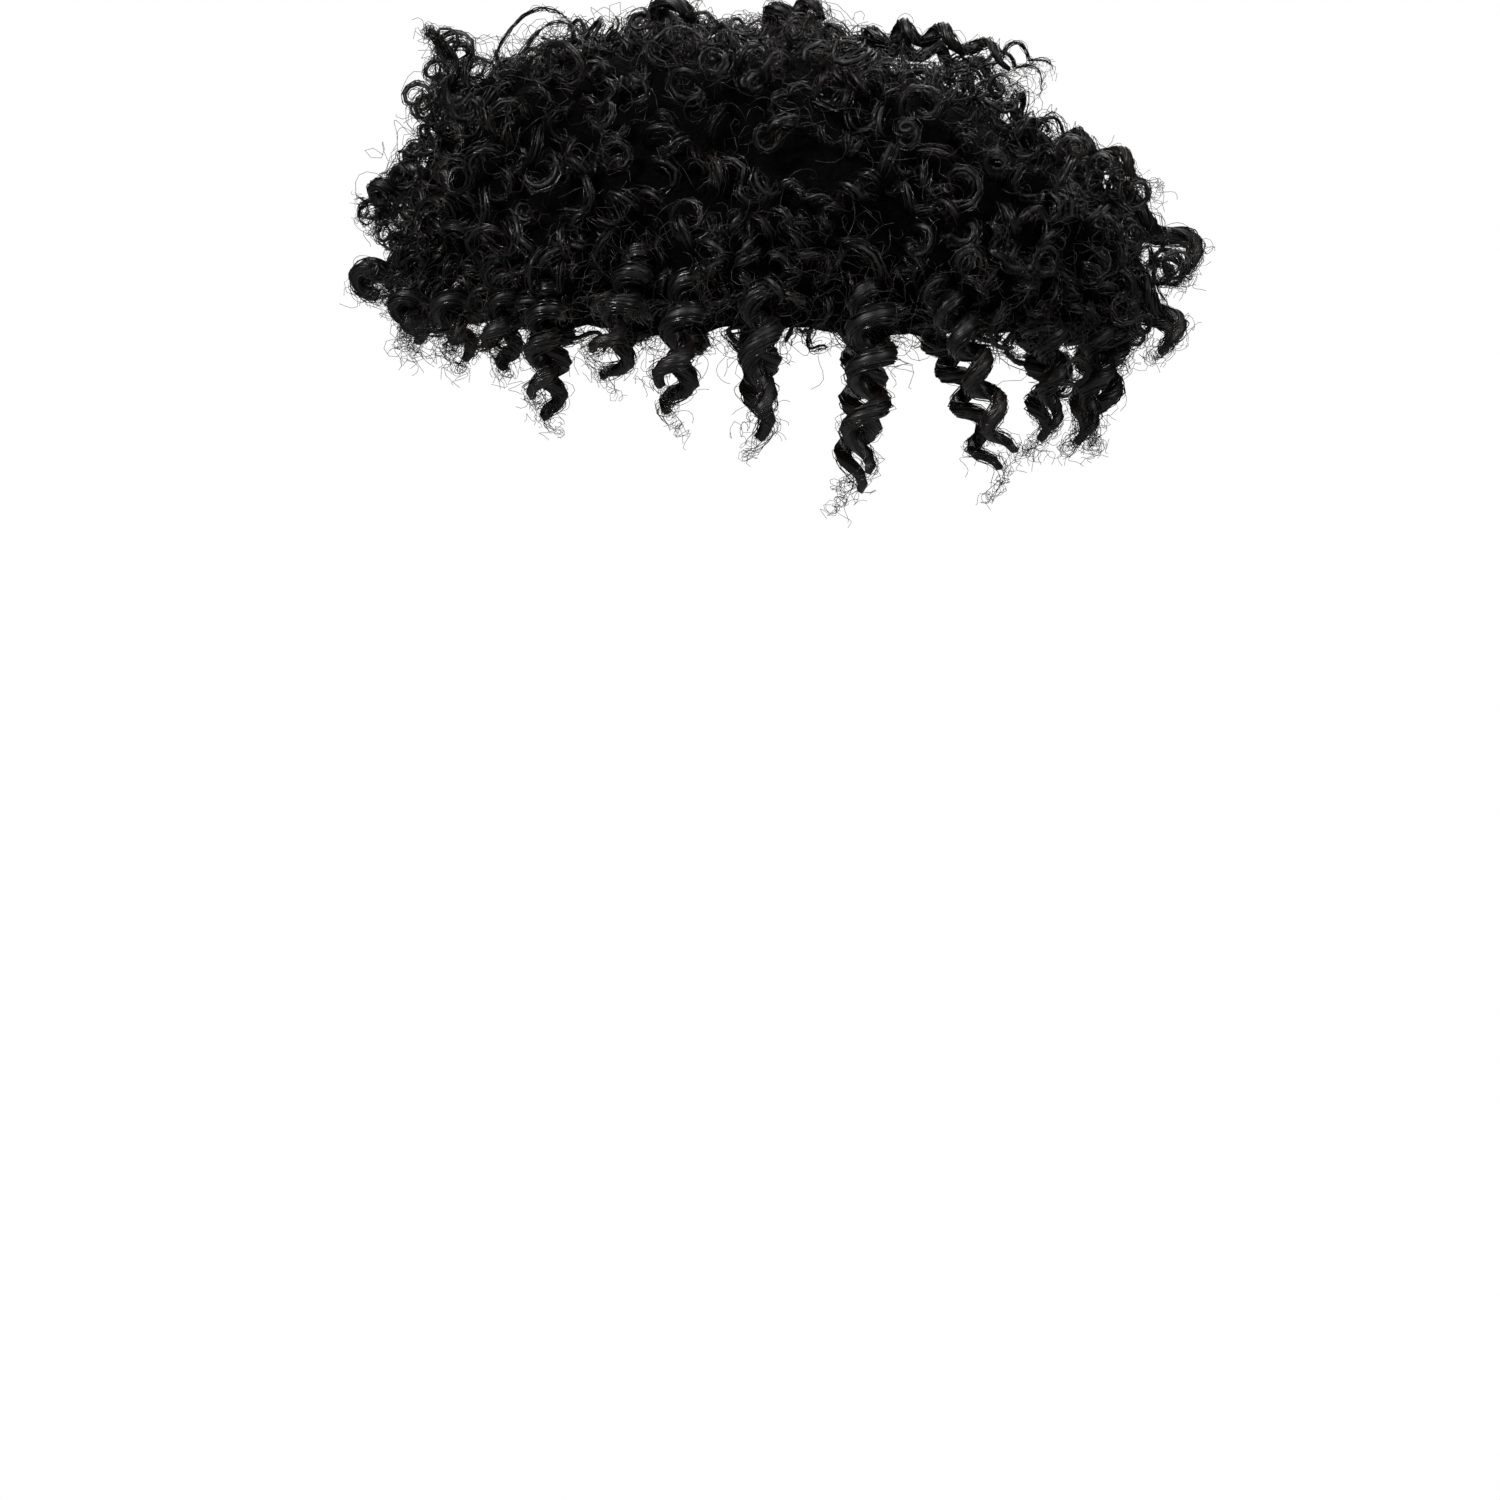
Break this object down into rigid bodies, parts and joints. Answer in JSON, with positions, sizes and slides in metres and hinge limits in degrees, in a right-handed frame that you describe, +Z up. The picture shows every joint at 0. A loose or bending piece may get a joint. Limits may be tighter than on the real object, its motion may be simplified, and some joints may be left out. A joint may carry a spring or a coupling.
{
  "type": "toupee hairpiece",
  "caption": "Men's curly black toupee: a thin moulded base that fits the crown, with dense massed curls and loose corkscrew locks along its edge.",
  "frame": {"origin": "highest point of the base's inner face, where it rests on the crown of the head", "axes": "+Z up; the wearer faces -Y, so +Y is towards the back of the head; +X is the wearer's left"},
  "size_m": [0.2116, 0.2712, 0.1615],
  "materials": {
    "hair_black": "curly black human hair with a soft sheen",
    "base_skin": "fine skin-toned lace over thin film, matt"
  },
  "bodies": {
    "root": {"base_cap": "base_skin", "crown_hair": "hair_black", "front_fringe": "hair_black", "left_side_hair": "hair_black", "right_side_hair": "hair_black", "back_hair": "hair_black"}
  },
  "joints": []
}
